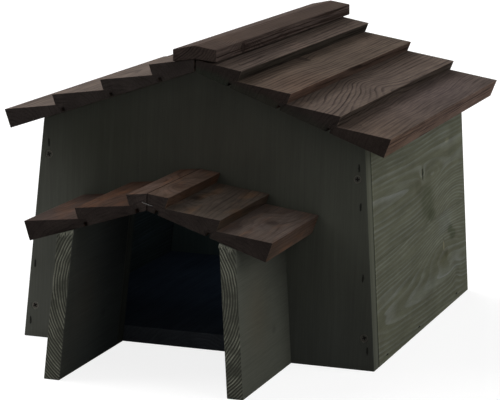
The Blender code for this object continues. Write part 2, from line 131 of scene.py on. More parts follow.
# Each slope's apex height, pitch, exposure and run down from the ridge to its top course's butt
LEFT_SLOPE = (APEX_HEIGHT + LID_RISE, ROOF_PITCH, EXPOSURE, RIDGE_RUN)
RIGHT_SLOPE = (APEX_HEIGHT, ROOF_PITCH, EXPOSURE, RIDGE_RUN)
PORCH_SLOPE = (0.171, PORCH_PITCH, 0.0536476, 0.0157187)

# Staples, and the wood that their crowns press in
STAPLE_CROWN = 0.0082
STAPLE_WIRE = 0.0010
STAPLE_LEG = 3.0 * MM
STAPLE_BEND = 1.2 * MM
PRESSED_WIDTH = 1.5
PRESSED_LENGTH = 4.0
RIDGE_WIRE = 0.7 * MM
RIDGE_STAPLE_DEPTH = 0.4 * MM
RIDGE_STAPLE_RISE = 1.2 * MM

# The crossed screws: the flat of the head, its cross recess, and the radius and depth of each
# section from under the rim to the point
SCREW_HEAD = 0.0039
SCREW_FACE = 0.0032
SCREW_STEPS = 28
CROSS_ARM = 2.2 * MM
CROSS_HALF_WIDTH = 0.65 * MM
CROSS_DEPTH = 1.7 * MM
CROSS_FLOOR = 0.5
RECESS_MATERIAL = 1
RIM_MATERIAL = 2
SCREW_SECTIONS = (
    (SCREW_HEAD, 0.4 * MM), (1.7 * MM, 2.4 * MM), (1.7 * MM, 35.0 * MM), (0.2 * MM, 39.0 * MM),
)

# Slips and dried stain in the frame's fine gaps, and torn fibres on its arrises
HAIR = 0.02 * MM
SLIP_INSET = 0.1 * MM
RIDGE_SLIP_START = 1.5 * MM
RIDGE_SLIP_DROP = 0.6 * MM
BEAD_START = 18.6 * MM
BEAD_END = 1.4 * MM
BEAD_STEPS = 60
SLIVER_SINK = 0.2 * MM


class Graph:
    """The node tree of a material or a world, with short calls that make and join its nodes.

    It keeps a wood's colour, and its height in millimetres, while marks change them. Radii are in
    millimetres too.
    """

    def __init__(self, owner, shader="Principled BSDF"):
        owner.use_nodes = True
        self.owner = owner
        self.tree = owner.node_tree
        self.shader = self.tree.nodes[shader]
        self.colour = self.height = None

    @cached_property
    def place(self):
        return self.node("TexCoord", "Object", {})

    @cached_property
    def normal(self):
        return self.node("TexCoord", "Normal", {})

    def feed(self, socket, value):
        """Joins a socket to another node's output, or sets its value, a colour in thousandths."""
        if isinstance(value, bpy.types.NodeSocket):
            self.tree.links.new(value, socket)
            return
        if socket.type == "RGBA":
            value = (*(part / 1000 for part in value), 1.0)
        elif socket.type == "VECTOR" and isinstance(value, float):
            value = (value, value, value)
        socket.default_value = value

    def node(self, kind, output, inputs, **settings):
        """The output of a new node, after its settings are made and its inputs fed."""
        made = self.tree.nodes.new("ShaderNode" + kind)
        for key, value in settings.items():
            setattr(made, key, value)
        for key, value in inputs.items():
            self.feed(made.inputs[key], value)
        return made.outputs[output]

    def surface(self, **values):
        """Feeds the shader's inputs, whose names have _ for a space here."""
        for key, value in values.items():
            self.feed(self.shader.inputs[key.replace("_", " ")], value)

    def math(self, operation, *values):
        return self.node("Math", 0, dict(enumerate(values)), operation=operation)

    def times(self, first, second):
        return self.math("MULTIPLY", first, second)

    def linear(self, value, slope, start):
        """value * slope + start"""
        return self.math("MULTIPLY_ADD", value, slope, start)

    def inverse(self, share):
        """1 - share"""
        return self.math("SUBTRACT", 1.0, share)

    def vector(self, operation, *values):
        output = "Value" if operation in ("LENGTH", "DOT_PRODUCT") else "Vector"
        inputs = dict(enumerate(values))
        return self.node("VectorMath", output, inputs, operation=operation)

    def scaled(self, vector, factor):
        inputs = {0: vector, "Scale": factor}
        return self.node("VectorMath", "Vector", inputs, operation="SCALE")

    def noise(self, waves, detail=2.0, roughness=0.5, place=None, shift=None, output="Fac"):
        """Noise with so many waves per metre, or along each axis, at a place moved by a shift."""
        place = place or self.place
        if shift:
            place = self.vector("ADD", place, shift)
        inputs = {"Vector": self.vector("MULTIPLY", place, waves), "Scale": 1.0}
        inputs.update({"Detail": detail, "Roughness": roughness})
        return self.node("TexNoise", output, inputs)

    def step(self, value, low, high):
        """0 at low, 1 at high, and smooth between them."""
        inputs = {"Value": value, "From Min": low, "From Max": high}
        return self.node("MapRange", "Result", inputs, interpolation_type="SMOOTHSTEP")

    def mix(self, share, first, second):
        """A colour that goes from first to second as the share goes from 0 to 1."""
        inputs = {"Factor": share, 6: first, 7: second}
        return self.node("Mix", 2, inputs, data_type="RGBA")

    def blend(self, share, first, second):
        """A number that goes from first to second as the share goes from 0 to 1."""
        inputs = {"Factor": share, 2: first, 3: second}
        return self.node("Mix", 0, inputs, data_type="FLOAT")

    def tint(self, share, tone):
        """Multiplies the colour by a tone, in hundredths for each channel, where the share is 1."""
        self.cover(share, self.vector("MULTIPLY", self.colour, [part / 100 for part in tone]))

    def cover(self, share, colour):
        self.colour = self.mix(share, self.colour, colour)

    def dent(self, share, depth):
        self.height = self.linear(share, -depth, self.height)

    def along(self, direction):
        """How far each point lies along a direction."""
        return self.vector("DOT_PRODUCT", self.place, direction)

    def facing(self, direction, low=0.85, high=0.96):
        """1 on the faces that look along a direction."""
        return self.step(self.vector("DOT_PRODUCT", self.normal, direction), low, high)

    def across_grain(self, grain=ALONG):
        """How squarely each face cuts across the grain."""
        return self.math("ABSOLUTE", self.vector("DOT_PRODUCT", self.normal, grain))

    def ends(self, grain=ALONG):
        """1 on a board's ends."""
        return self.step(self.across_grain(grain), 0.70, 0.92)

    def offset(self, centre, radii):
        """Each point's place from a centre, counted in radii."""
        metres = [radius * MM for radius in radii]
        return self.vector("DIVIDE", self.vector("SUBTRACT", self.place, centre), metres)

    def distance(self, centre, radii):
        return self.vector("LENGTH", self.offset(centre, radii))

    def spread(self, centre, radii):
        """exp(-d * d), with d the distance from a centre counted in radii."""
        offset = self.offset(centre, radii)
        return self.math("EXPONENT", self.times(self.vector("DOT_PRODUCT", offset, offset), -1.0))

    def bump(self, height):
        """The surface, raised by a height in millimetres."""
        inputs = {"Strength": 1.0, "Distance": MM, "Height": height}
        return self.node("Bump", "Normal", inputs)

    def seen(self):
        """1 for the rays that come from the camera, straight or by way of a mirror or a glass."""
        rays = self.tree.nodes.new("ShaderNodeLightPath").outputs
        seen = self.math("MAXIMUM", rays["Is Camera Ray"], rays["Is Glossy Ray"])
        return self.math("MAXIMUM", seen, rays["Is Transmission Ray"])


# Wood


class Log:
    """Where a board lay in its tree: a point on the pith, its direction and the rings' spacing.

    The swell bends the rings, the pace makes their spacing uneven, and the swirls turn them aside.
    """

    def __init__(self, pith, direction=ALONG, gap=0.003, swell=0.004, swirls=(), pace=2.2):
        self.pith = pith
        self.turn = Vector(direction).to_track_quat("Z", "Y").to_euler()
        self.gap = gap
        self.swell = swell
        self.swirls = swirls
        self.pace = pace


class Stain:
    """Colours of a stained board on its faces and its ends, between the growth rings and on them.

    They are in thousandths. The numbers say how strongly the rings, the fibres, the streaks and
    the blotches show, how far the rings and the fibres stand out, in millimetres, and where in a
    ring its late wood starts.
    """

    rings = 0.6
    end_rings = 0.7
    fibres = 0.30
    streaks = 0.20
    blotches = 0.25
    relief = 0.12
    end_relief = 0.20
    fibre_relief = 0.05
    late_start = 0.25

    def __init__(self, face, line, end=None, end_line=None, **others):
        self.__dict__.update(others, face=face, line=line)
        self.end, self.end_line = end or face, end_line or line

    def but(self, **others):
        """The same stain with other values."""
        return Stain(**{**self.__dict__, **others})


# The panels' green is darker than the walls': partly the wood's own tone, partly painted shade on
# the front.
FRONT_GREEN = Stain(
    (50, 52, 43), (61, 63, 52), (120, 122, 92), (150, 152, 118),
    rings=0.28, fibres=0.12, streaks=0.11, blotches=0.15, relief=0.02, fibre_relief=0.012,
)
SHADY_GREEN = Stain(
    (65, 67, 49), (112, 116, 102), (60, 62, 50), (120, 122, 100),
    rings=0.62, fibres=0.20, streaks=0.28, blotches=0.28, late_start=0.35, fibre_relief=0.03,
)
WALL_GREEN = SHADY_GREEN.but(face=(102, 105, 74), line=(180, 187, 168), rings=0.54)
JAMB_GREEN = Stain(
    (74, 77, 63), (84, 87, 71), (34, 35, 28), (184, 187, 150),
    rings=0.30, end_rings=1.0, fibres=0.20, streaks=0.08, blotches=0.14, relief=0.03,
    end_relief=0.50, late_start=0.20, fibre_relief=0.03,
)
BROWN = Stain(
    (84, 64, 53), (18, 13, 11), (28, 23, 21), (18, 15, 13),
    rings=0.90, fibres=0.44, streaks=0.34, blotches=0.34, late_start=0.45,
)
DARK_BROWN = BROWN.but(end=(23, 18, 16), end_line=(11, 9, 8))
WORN_BROWN = DARK_BROWN.but(line=(24, 18, 15), rings=0.70, fibres=0.50, blotches=0.40)
CAP_BROWN = Stain(
    (52, 39, 33), (16, 11, 10), (38, 28, 24), (5, 4, 4),
    rings=0.90, end_rings=1.0, fibres=0.40, streaks=0.30, blotches=0.22,
)
RED_BROWN = Stain(
    (57, 41, 32), (20, 13, 11), (23, 18, 16), (15, 12, 11),
    rings=0.60, fibres=0.42, streaks=0.30, blotches=0.66, late_start=0.45,
)
PINE = Stain(
    (420, 290, 160), (300, 170, 80), (340, 230, 120), (240, 140, 70),
    rings=0.70, fibres=0.25, blotches=0.15,
)
DARK_FLOOR = Stain((80, 88, 105), (100, 108, 120), (60, 66, 76), (85, 92, 105), rings=0.40)
DRIED_STAIN = Stain((45, 40, 34), (40, 36, 30))
TORN_GREEN = Stain((150, 152, 122), (190, 190, 160))


def ring_nodes(graph, log, late_start):
    """How deep each point is in its ring's late wood, and the place in the log's own frame."""
    inputs = {"Vector": graph.place, "Location": log.pith, "Rotation": log.turn}
    lying = graph.node("Mapping", "Vector", inputs, vector_type="TEXTURE")
    bent = lying
    for waves, detail, reach in BENDS:
        bend = graph.noise(waves, detail, place=lying, output="Color")
        bend = graph.scaled(graph.vector("SUBTRACT", bend, 0.5), log.swell * reach)
        bent = graph.vector("ADD", bent, bend)
    flat = graph.vector("MULTIPLY", bent, (1.0, 1.0, 0.0))
    turns = graph.math("DIVIDE", graph.vector("LENGTH", flat), log.gap)
    for centre, radii, rings in log.swirls:
        turns = graph.linear(graph.spread(centre, radii), rings, turns)
    turns = graph.linear(graph.noise(PACE_WAVES, detail=1.0, place=flat), log.pace, turns)
    share = graph.math("FRACT", turns)
    late = graph.step(share, late_start, LATE_FULL)
    late = graph.times(late, graph.inverse(graph.step(share, LATE_OVER, 1.0)))
    ring = {"W": graph.math("FLOOR", turns)}
    weight = graph.node("TexWhiteNoise", "Value", ring, noise_dimensions="1D")
    faint = graph.noise(FAINT_WAVES, detail=3.0, roughness=0.6, place=lying)
    faint = graph.linear(graph.step(faint, 0.32, 0.62), 0.8, 0.35)
    return graph.times(late, graph.times(graph.linear(weight, 0.65, 0.35), faint)), lying


def wood(name, stain, log, seed=0.0, marks=(), grain=ALONG, lower=None, seam=0.0):
    """A stained board's material. Below the seam, where it has one, it is of another log."""
    graph = Graph(bpy.data.materials.new(name))
    late, lying = ring_nodes(graph, log, stain.late_start)
    if lower:
        other, other_lying = ring_nodes(graph, lower, stain.late_start)
        above = graph.step(graph.along(UPRIGHT), seam - SEAM_BLUR, seam + SEAM_BLUR)
        late = graph.blend(above, other, late)
        lying = graph.mix(above, other_lying, lying)
    ends = graph.ends(grain)
    face = graph.mix(graph.times(late, stain.rings), stain.face, stain.line)
    end = graph.mix(graph.times(late, stain.end_rings), stain.end, stain.end_line)
    graph.colour = graph.mix(ends, face, end)
    fibre = graph.noise(FIBRE_WAVES, 3.0, 0.6, lying)
    fibre = graph.step(fibre, 0.30, 0.70)
    shift = (seed, seed * 0.7, seed * 0.3)
    streak = graph.noise(STREAK_WAVES, 2.0, 0.6, lying, shift)
    blotch = graph.noise(BLOTCH_WAVES, 4.0, 0.6, lying, shift)
    # The last two noises keep near their middle, so their shares are raised
    shares = (stain.fibres, stain.streaks * 2.2, stain.blotches * 2.2)
    for noise, share in zip((fibre, streak, blotch), shares):
        graph.colour = graph.scaled(graph.colour, graph.linear(noise, share, 1.0 - share / 2))
    relief = graph.times(late, graph.blend(ends, stain.relief, stain.end_relief))
    graph.height = graph.linear(fibre, stain.fibre_relief, relief)
    for paint in marks:
        paint(graph)
    rough = graph.linear(late, -0.06, graph.linear(fibre, 0.10, WOOD_ROUGHNESS))
    graph.surface(Base_Color=graph.colour, Roughness=rough, Normal=graph.bump(graph.height))
    graph.surface(Specular_IOR_Level=WOOD_SPECULAR)
    return graph.owner


# Marks on the wood. A call of one gives a function for a material's list of marks.


def mark(paint):
    """Lets a function that paints a mark be called with the mark's own values alone."""
    def keep(*values, **others):
        return lambda graph: paint(graph, *values, **others)
    return keep


@mark
def patch(graph, centre, radii, tone, share=1.0, rough=0.5):
    """A soft patch, its border broken by noise."""
    noise = graph.math("SUBTRACT", graph.noise((160.0, 60.0, 160.0), detail=3.0), 0.5)
    near = graph.step(graph.linear(noise, rough, graph.spread(centre, radii)), 0.05, 0.75)
    graph.tint(graph.times(near, share), tone)


@mark
def wash(graph, centre, radii, tone, direction=None):
    """A wide change of tone without a border, on all faces or on those that look one way."""
    share = graph.spread(centre, radii)
    if direction:
        share = graph.times(share, graph.facing(direction))
    graph.tint(share, tone)


@mark
def faces(graph, direction, tone, low=0.85, high=0.96, start=-9.0):
    """Another tone on the faces that look along a direction and lie beyond a start on it."""
    beyond = graph.step(graph.along(direction), start, start + MM)
    graph.tint(graph.times(graph.facing(direction, low, high), beyond), tone)


@mark
def grain_lines(graph, direction, tone, seed, low=0.54, high=0.64):
    """Dark lines along the grain on the faces that look along a direction."""
    noise = graph.noise((430.0, 5.0, 430.0), shift=(seed, seed * 2.0, seed))
    share = graph.times(graph.step(noise, low, high), graph.facing(direction, 0.90, 0.98))
    graph.tint(share, tone)
    graph.dent(share, 0.15)


@mark
def sides(graph, tone):
    """Another tone on every face but the ends."""
    graph.tint(graph.inverse(graph.ends()), tone)


@mark
def knot(graph, centre, radii, core, rim):
    """A knot: a core in a dark rim, dished a little."""
    smooth = graph.math("SUBTRACT", graph.distance(centre, radii), 0.25)
    distance = graph.linear(graph.noise(300.0), 0.5, smooth)
    inside = graph.inverse(graph.step(distance, 0.55, 0.80))
    outside = graph.inverse(graph.step(distance, 0.90, 1.35))
    graph.cover(graph.times(outside, 0.75), rim)
    graph.cover(graph.times(inside, 0.85), core)
    graph.dent(inside, 0.25)


@mark
def crack(graph, centre, radii, depth=0.5, shade=18):
    """A short dark crack."""
    distance = graph.math("ADD", graph.distance(centre, radii), graph.noise(400.0))
    inside = graph.inverse(graph.step(distance, 0.9, 1.4))
    graph.tint(inside, [shade] * 3)
    graph.dent(inside, depth)


@mark
def wear_and_highlight(graph, point, radius, tone):
    """A long arris, at a point of the section, that is paler in places: its stain rubbed thin
    there, and a painted highlight.
    """
    noise = graph.noise((90.0, 45.0, 90.0), detail=4.0, roughness=0.7)
    near = graph.spread(point, (radius, ENDLESS, radius))
    wear_and_light = graph.times(near, graph.step(noise, 0.38, 0.62))
    graph.tint(graph.times(wear_and_light, 0.8), tone)
    graph.dent(wear_and_light, 0.15)


@mark
def line(graph, direction, at, width, shade):
    """A line of another tone at a distance along a direction, such as a glue line."""
    off = graph.math("ABSOLUTE", graph.math("SUBTRACT", graph.along(direction), at))
    near = graph.inverse(graph.step(off, width * 0.3, width))
    graph.tint(near, [shade] * 3)
    graph.dent(near, 0.10)


@mark
def overspray(graph, share, seed):
    """Green stain that strayed from the panel over the lower part of the right boards' ends."""
    noise = graph.noise(45.0, detail=3.0, shift=(seed, seed, seed))
    out = slope_directions(1)[1]
    above = graph.math("SUBTRACT", graph.along(out), APEX_HEIGHT * math.cos(ROOF_PITCH))
    reach = graph.step(graph.linear(noise, 12 * MM, above), 15 * MM, 9 * MM)
    reach = graph.times(reach, graph.facing(-ALONG))
    graph.tint(graph.times(reach, share), (88, 122, 106))


@mark
def warm_streaks(graph, tone, seed):
    """Streaks of a warmer tone along the grain."""
    noise = graph.noise((80.0, 16.0, 80.0), 4.0, 0.65, shift=(seed, seed, 0.0))
    share = graph.times(graph.step(noise, 0.45, 0.75), graph.inverse(graph.across_grain()))
    graph.tint(share, tone)


# Pieces


def put(name, data):
    """A new object in the scene."""
    item = bpy.data.objects.new(name, data)
    bpy.context.scene.collection.objects.link(item)
    return item


def dress(node, material):
    """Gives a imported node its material."""
    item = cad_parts[node]
    item.data.materials.clear()
    item.data.materials.append(material)


def add_piece(name, data, material, body):
    """A new piece with a material, which rides on a body."""
    data.materials.append(material)
    item = put(name, data)
    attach(item, body)
    return item


def mesh_data(name, shape):
    mesh = bpy.data.meshes.new(name)
    shape.to_mesh(mesh)
    shape.free()
    return mesh


def add_solid(name, shape, material, body):
    """A new piece from a closed shape, whose faces are turned outwards first."""
    bmesh.ops.recalc_face_normals(shape, faces=shape.faces[:])
    return add_piece(name, mesh_data(name, shape), material, body)


def skin(shape, first, second):
    """The faces between two rows of vertices, each of which goes round a section."""
    pairs = range(len(first))
    return [shape.faces.new((first[i - 1], first[i], second[i], second[i - 1])) for i in pairs]


# Stage


def camera():
    turn = Euler((math.pi / 2 - CAMERA_ELEVATION, 0.0, CAMERA_AZIMUTH)).to_matrix()
    turn @= Matrix.Rotation(CAMERA_ROLL, 3, "Z")
    lens = bpy.data.cameras.new("camera")
    lens.sensor_width = SENSOR
    lens.lens = FOCAL_PIXELS / PHOTO_WIDTH * SENSOR
    item = put("camera", lens)
    item.matrix_world = turn.to_4x4()
    item.location = CAMERA_TARGET + turn @ UPRIGHT * CAMERA_DISTANCE
    bpy.context.scene.camera = item


def light():
    for name, (direction, strength) in SUNS.items():
        lamp = bpy.data.lights.new(name, "SUN")
        lamp.energy = strength
        lamp.angle = SOFT_ANGLE
        put(name, lamp).rotation_euler = Vector(direction).to_track_quat("Z", "Y").to_euler()
    lamp = bpy.data.lights.new("doorway_light", "POINT")
    lamp.energy = DOORWAY_POWER
    lamp.color = DOORWAY_COLOUR
    lamp.shadow_soft_size = DOORWAY_LAMP_RADIUS
    put("doorway_light", lamp).location = DOORWAY_LAMP


def studio():
    """A pale floor and a pale world. Seen directly both are white; they light the object less."""
    graph = Graph(bpy.data.materials.new("studio_floor"))
    seen = graph.seen()
    graph.surface(
        Base_Color=graph.mix(seen, FLOOR_BOUNCE, FLOOR_SEEN),
        Roughness=1.0,
        Specular_IOR_Level=0.0,
        Emission_Color=WHITE,
        Emission_Strength=graph.times(seen, FLOOR_GLOW),
    )
    shape = bmesh.new()
    bmesh.ops.create_grid(shape, x_segments=1, y_segments=1, size=FLOOR_HALF_SIZE)
    floor = put("floor", mesh_data("floor", shape))
    floor.data.materials.append(graph.owner)
    graph = Graph(bpy.data.worlds.new("studio"), "Background")
    inputs = {"Value": graph.seen(), "To Min": WORLD_STRENGTH}
    strength = graph.node("MapRange", "Result", inputs)
    graph.surface(Color=WHITE, Strength=strength)
    bpy.context.scene.world = graph.owner


# Panels and walls

# Patches on the side walls: how far along and up, how long and high, in millimetres, their tone
# and share, and how rough their border is
RIGHT_PATCHES = (
    (185, 150, 16, 9, (76, 74, 70), 0.8),
    (220, 128, 29, 18, (70, 72, 66), 0.9),
    (236, 112, 16, 6, (62, 64, 58), 0.8),
    (203, 160, 12, 7, (130, 130, 134), 0.9, 0.4),
    (292, 95, 32, 11, (112, 114, 126), 0.9, 0.7),
    (300, 192, 28, 6, (116, 117, 124), 0.8, 0.6),
    (318, 181, 9, 2.5, (140, 138, 126), 0.8, 0.7),
    (95, 160, 50, 6, (116, 117, 126), 0.8, 0.6),
    (50, 62, 40, 5, (112, 113, 122), 0.8, 0.6),
    (235, 39, 125, 6.5, (130, 132, 146), 1.0, 0.35),
    (276, 58, 26, 7, (82, 80, 74), 0.8, 0.6),
    (296, 61, 8, 6, (74, 72, 64), 0.8, 0.6),
    (316, 83, 11, 4.5, (60, 64, 57), 0.9, 0.5),
    (328, 76, 14, 5.5, (60, 63, 56), 0.9, 0.5),
    (344, 30, 10, 6, (80, 80, 80), 0.6),
)
LEFT_PATCHES = (
    (265, 150, 24, 10, (70, 72, 66), 0.8),
    (60, 182, 30, 6, (125, 124, 122), 0.7),
    (240, 40, 100, 6, (120, 120, 124), 0.8, 0.35),
    (310, 92, 40, 10, (118, 119, 126), 0.9, 0.7),
)

# Staples in the front and back panels (across from the middle, up) and in the side walls' feet
# (along, up), in millimetres
FRONT_STAPLES = [
    (-160.5, 201.0), (-173.5, 76.0), (-177.6, 17.0), (161.5, 200.0), (164.5, 162.0), (169.5, 92.0),
    (176.5, 20.0),
]
BACK_STAPLES = [(-150.0, 190.0), (-158.0, 60.0), (151.0, 175.0), (160.0, 45.0)]
FOOT_STAPLES = [(33.0, 6.0), (165.0, 6.0), (335.0, 7.0)]

FRONT_LOW, FRONT_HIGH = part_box("front_panel")
WALL_LOW, WALL_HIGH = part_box("right_wall")
HALF_WIDTH = FRONT_HIGH.x
FRONT_FACE = FRONT_LOW.y
ROOF_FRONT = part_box("right_board_1")[0].y


def on_front(across, up):
    """A point on the front panel, in millimetres from the middle and from the ground."""
    return Vector((across * MM, FRONT_FACE, up * MM))


def on_back(across, up):
    """A point on the back panel, in the same way."""
    return Vector((across * MM, WALL_HIGH.y, up * MM))


def on_wall(along, up, side=1):
    """A point on a side wall's outer face: millimetres from its front end, and up its slope."""
    x = HALF_WIDTH - up * MM * math.sin(WALL_LEAN)
    return Vector((side * x, WALL_LOW.y + along * MM, up * MM * math.cos(WALL_LEAN)))


def on_board(course, along, up, side=1):
    """A point on a main roof board's upper face: from the roof's front, and up from the butt."""
    taper = math.atan((BUTT_THICKNESS - FEATHER_THICKNESS) / EXPOSURE)
    run = RIDGE_RUN + (MAIN_COURSES - course) * EXPOSURE - up * MM * math.cos(taper)
    height = BUTT_THICKNESS - up * MM * math.sin(taper)
    x, z = siding_section(RIGHT_SLOPE, side, run, height)
    return Vector((x, ROOF_FRONT + along * MM, z))


def siding_section(slope, side, run, height):
    """The (x, z) of a point of a slope: its run from the apex, its height over the underside."""
    apex, pitch = slope[:2]
    x = run * math.cos(pitch) + height * math.sin(pitch)
    return side * x, apex - run * math.sin(pitch) + height * math.cos(pitch)


def board(name, stain, log, seed, marks=(), **others):
    """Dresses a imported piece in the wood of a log."""
    dress(name, wood(name + "_wood", stain, log, seed, marks, **others))


def wall_patch(side, along, up, length, height, tone, share, rough=0.5):
    return patch(on_wall(along, up, side), (REACH, length, height), tone, share, rough)


def pressed(point, along):
    """The wood that a staple's crown has pressed in and darkened."""
    return crack(point, [PRESSED_WIDTH + abs(part) * PRESSED_LENGTH for part in along], 0.2, 40)


def panels():
    marks = [
        # Lighter towards the lower left: painted light, as from a lamp low on the left.
        wash(on_front(-178, 30), (70, ENDLESS, 145), (172, 170, 178)),
        # Lighter on the panel's right edge face, which looks the same way as the lit right wall:
        # painted light.
        faces(ACROSS, (154, 154, 143), start=0.1),
        line(ALONG, FRONT_FACE + 3.5 * MM, 2.2 * MM, 90),
        line(ALONG, FRONT_FACE + 11.5 * MM, 4.5 * MM, 112),
        wash(on_front(120, 10), (70, ENDLESS, 50), (120, 122, 130)),
        wash(on_front(130, 150), (70, ENDLESS, 70), (110, 110, 108)),
        # Darker along the top, under the roof's overhang: painted shade.
        wash(on_front(20, 215), (80, ENDLESS, 50), (98, 92, 90)),
        wash(on_front(-105, 205), (60, ENDLESS, 50), (80, 80, 76)),
    ]
    marks += [pressed(on_front(*spot), UPRIGHT) for spot in FRONT_STAPLES]
    log = Log((0.02, 0.05, 0.0), (0.006, -0.004, 1.0), gap=0.0030, swell=0.003)
    board("front_panel", FRONT_GREEN, log, 0.0, marks, grain=UPRIGHT)

    knots = ((on_back(-75, 105), 1.0), (on_back(92, 190), 0.6))
    swirls = [(spot, (16 * size, 100, 45 * size), 3.0 * size) for spot, size in knots]
    log = Log((-0.03, 0.42, 0.0), (0.008, 0.006, 1.0), gap=0.0040, swell=0.004, swirls=swirls)
    # Lighter on the inner face, which lifts the dark inside the house: painted light.
    marks = [faces(-ALONG, (230, 245, 235))]
    for spot, size in knots:
        radii = (6 * size, ENDLESS, 8 * size)
        marks.append(knot(spot, radii, (38, 36, 28), (28, 29, 23)))
    marks += [
        wash(on_back(100, 30), (120, ENDLESS, 90), (135, 135, 130)),
        wash(on_back(-120, 170), (90, ENDLESS, 100), (118, 119, 116)),
    ]
    board("back_panel", FRONT_GREEN, log, 3.1, marks, grain=UPRIGHT)

    log = Log((0.0, 0.0, -0.05), gap=0.004)
    # The floor is darker on its upper face, inside the house: painted shade.
    board("floor_panel", DARK_FLOOR, log, 1.3, [faces(UPRIGHT, (60, 62, 62))])


def right_wall():
    seam = on_wall(0, 105.5).z
    swirls = [
        (on_wall(332, 100), (REACH, 85, 38), 6.6),
        (on_wall(203, 161), (REACH, 12, 6), 1.2),
        (on_wall(250, 156), (REACH, 30, 10), -1.4),
    ]
    pith = on_wall(196, 157) - ACROSS * 16.6 * MM
    upper = Log(pith, (-0.0180, 1.0, 0.002), 0.0048, 0.0024, swirls)
    swirls = [
        (on_wall(288, 72), (REACH, 100, 24), -3.6),
        (on_wall(335, 30), (REACH, 20, 12), 1.2),
    ]
    pith = on_wall(196, 42) - ACROSS * 17.0 * MM
    lower = Log(pith, (0.055, 1.0, 0.004), 0.0042, 0.0022, swirls)
    marks = [
        knot(on_wall(285, 70), (REACH, 4.2, 8.5), (190, 178, 118), (84, 86, 65)),
        crack(on_wall(204, 161), (REACH, 4.6, 9.4), 0.5, 12),
        *joint_lines(seam),
        wash(on_wall(392, 60), (REACH, 50, 120), (90, 90, 90)),
    ]
    marks += [wall_patch(1, *values) for values in RIGHT_PATCHES]
    marks += [pressed(on_wall(*spot), ALONG) for spot in FOOT_STAPLES]
    board("right_wall", WALL_GREEN, upper, 5.2, marks, lower=lower, seam=seam)


def left_wall():
    seam = on_wall(0, 118).z
    pith = on_wall(150, 175, -1) + ACROSS * 20 * MM
    upper = Log(pith, (-0.004, 1.0, 0.006), 0.0040, 0.003)
    swirls = [(on_wall(131, 62, -1), (REACH, 55, 17), 3.4)]
    pith = on_wall(200, 52, -1) + ACROSS * 13 * MM
    lower = Log(pith, (-0.005, 1.0, -0.006), 0.0036, 0.003, swirls)
    marks = [
        knot(on_wall(124, 64, -1), (REACH, 5.5, 4.2), (60, 54, 38), (42, 43, 32)),
        *joint_lines(seam),
        # Darker and bluer on the inner face, inside the house: painted shade.
        faces(ACROSS, (66, 70, 78)),
    ]
    marks += [wall_patch(-1, *values) for values in LEFT_PATCHES]
    board("left_wall", SHADY_GREEN, upper, 7.7, marks, lower=lower, seam=seam)


def joint_lines(seam):
    """A side wall's glue line, its joint with the front panel and the paler arris beside that."""
    return (
        line(UPRIGHT, seam, 0.9 * MM, 80),
        line(ALONG, WALL_LOW.y, 1.5 * MM, 24),
        line(ALONG, WALL_LOW.y + 5.0 * MM, 2.8 * MM, 110),
    )


def porch_walls():
    for word, side in SIDES:
        name = f"porch_{word}_wall"
        low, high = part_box(name)
        inwards = ACROSS * -side
        log = Log((side * 0.007, 0.0, 0.0955), (0.0, 1.0, 0.009), 0.0026, 0.0004, pace=0.9)
        outside = side * 0.095
        mouth = (side * 0.08, low.y, 0.07)
        marks = [
            wash((outside, low.y + 0.055, 0.07), (REACH, 30, 35), (104, 96, 90)),
            # Darker where the outer face meets the house, under the porch roof: painted shade.
            wash((outside, high.y, 0.13), (REACH, 80, 72), (42, 42, 42)),
            patch((outside, low.y + 0.105, 0.045), (REACH, 6, 4), (70, 70, 70), 0.6),
            # Darker and bluer on the inner faces, most towards the front: painted shade inside the
            # porch.
            faces(inwards, (90, 94, 108)),
            wash(mouth, (REACH, 60, 300), (52, 50, 46), inwards),
        ]
        board(name, JAMB_GREEN, log, 2.0 + side, marks)


# Roofs

# For each board of the right slope: how far up from the butt and how deep its pith lies, in
# millimetres, the rings' spacing, and how its grain drifts up the slope and into the board
RIGHT_BOARDS = {
    1: (-42.0, 22.0, 0.0036, 0.020, 0.008),
    2: (-20.0, 30.0, 0.0038, 0.000, 0.000),
    3: (-45.0, 26.0, 0.0038, -0.016, 0.020),
    4: (-40.0, 24.0, 0.0037, 0.012, -0.010),
}
ROOF_MIDDLE = 236.0
ROOF_SWELL = 0.0028
# The tones of those boards' butt edges, and how much green stain strayed over their front ends
BUTT_TONES = {
    1: (145, 127, 118), 2: (76, 77, 76), 3: (80, 69, 64), 4: (39, 42, 40),
}
STRAYED = {1: 0.0, 2: 0.5, 3: 0.7, 4: 1.0}
PORCH_TONES = {
    ("left", 1): (60, 57, 60), ("left", 2): (62, 52, 48),
    ("left", 3): (69, 64, 63), ("right", 1): (118, 127, 138),
    ("right", 2): (84, 93, 96), ("right", 3): (92, 88, 86),
}
ORANGE = (145, 114, 90)


def slope_directions(side, pitch=ROOF_PITCH):
    """Up the slope, and square out of it, for the left (-1) or the right (1) slope."""
    up = Vector((-side * math.cos(pitch), 0.0, math.sin(pitch)))
    out = Vector((side * math.sin(pitch), 0.0, math.cos(pitch)))
    return up, out


def butt_run(course, courses, slope):
    """The run down from the apex to a course's butt."""
    return slope[3] + (courses - course) * slope[2]


def notch_marks(course, courses, side, slope):
    """Painted shade in the small notches under a board: one at its butt and one at its feather
    edge.
    """
    marks = []
    for upper in (course, course + 1):
        if 1 < upper <= courses:
            run = butt_run(upper, courses, slope) - LAP + NOTCH_WIDTH / 2
            x, z = siding_section(slope, side, run, NOTCH_HEIGHT / 2)
            marks.append(wash((x, 0.0, z), (2.6, ENDLESS, 2.6), (22, 24, 26)))
    return marks


def board_log(course, side, up, deep, gap, drift, climb, swirls):
    """The log of a main roof board, from the values that RIGHT_BOARDS holds."""
    rise, out = slope_directions(side)
    pith = on_board(course, ROOF_MIDDLE, up, side) - out * deep * MM
    return Log(pith, ALONG + rise * drift + out * climb, gap, ROOF_SWELL, swirls)


